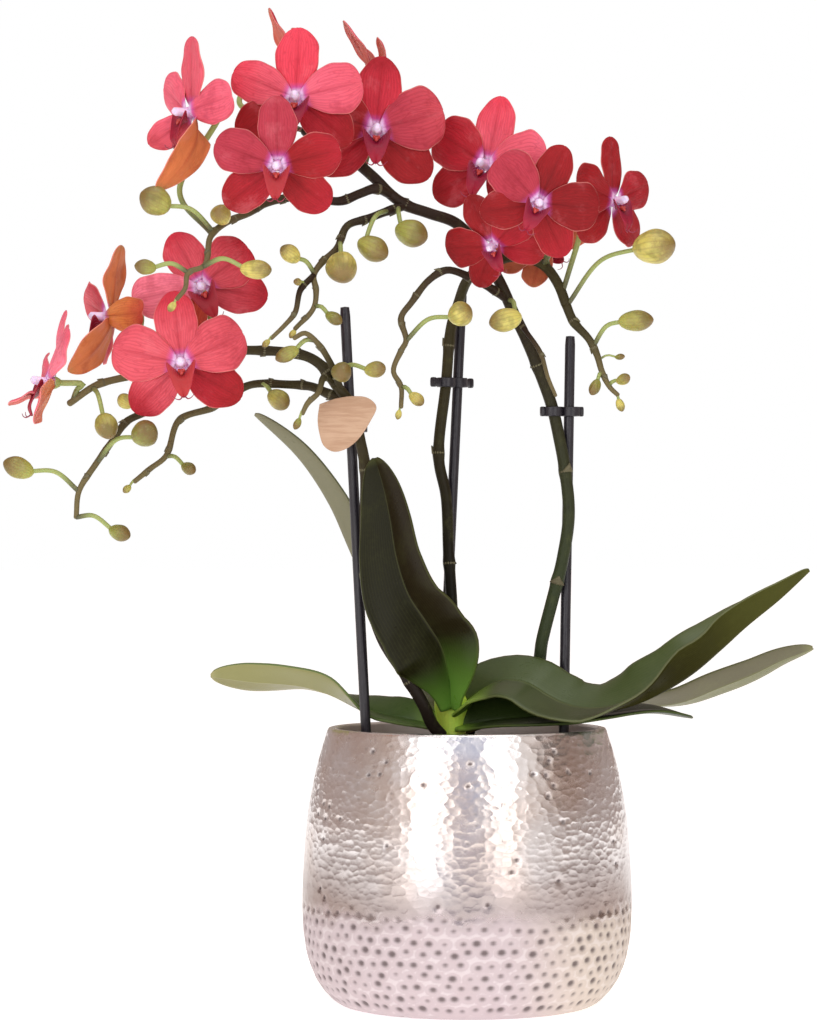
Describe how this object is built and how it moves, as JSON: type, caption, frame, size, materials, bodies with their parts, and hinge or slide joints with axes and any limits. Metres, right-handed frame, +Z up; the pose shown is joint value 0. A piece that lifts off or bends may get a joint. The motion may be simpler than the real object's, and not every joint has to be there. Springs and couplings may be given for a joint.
{
  "type": "potted moth orchid",
  "caption": "Potted moth orchid with arching flower spikes on stakes, open red blooms, buds and strap leaves in a round hammered silver cover pot.",
  "frame": {"origin": "centre of the cover pot's underside, where it stands", "axes": "+Z up, the front of the plant towards -Y, the long arch of blooms towards -X"},
  "size_m": [0.3177, 0.1327, 0.3981],
  "materials": {
    "pot": "silver leaf over hammered and dimpled ceramic, satin to shiny",
    "grow_pot": "thin smoky nursery plastic",
    "bark": "rough, dry",
    "crown": "smooth, waxy",
    "leaf": "leathery, satin",
    "spike": "smooth living stem, satin",
    "stake": "satin",
    "bloom": "velvety petals with fine veins",
    "lip": "waxy, satin",
    "tag": "bare sanded wood"
  },
  "bodies": {
    "root": {"pot": "pot", "grow_pot": "grow_pot", "bark": "bark", "crown": "crown", "leaf_upright": "leaf", "leaf_left_high": "leaf", "leaf_left_low": "leaf", "leaf_right_high": "leaf", "leaf_right_middle": "leaf", "leaf_right_low": "leaf", "spike_left": "spike", "spike_middle": "spike", "spike_right": "spike", "stake_left": "stake", "stake_middle": "stake", "stake_right": "stake", "clip_left": "stake", "clip_middle": "stake", "clip_right": "stake", "bloom_01": "bloom", "bloom_02": "bloom", "bloom_03": "bloom", "bloom_04": "bloom", "bloom_05": "bloom", "bloom_06": "bloom", "bloom_07": "bloom", "bloom_08": "bloom", "bloom_09": "bloom", "bloom_10": "bloom", "bloom_11": "bloom", "bloom_12": "bloom", "bloom_13": "bloom", "bloom_14": "bloom", "bloom_15": "bloom", "lip_01": "lip", "lip_02": "lip", "lip_03": "lip", "lip_04": "lip", "lip_05": "lip", "lip_06": "lip", "lip_07": "lip", "lip_08": "lip", "lip_09": "lip", "lip_10": "lip", "lip_11": "lip", "lip_12": "lip", "lip_13": "lip", "lip_14": "lip", "lip_15": "lip", "tag": "tag"}
  },
  "joints": []
}
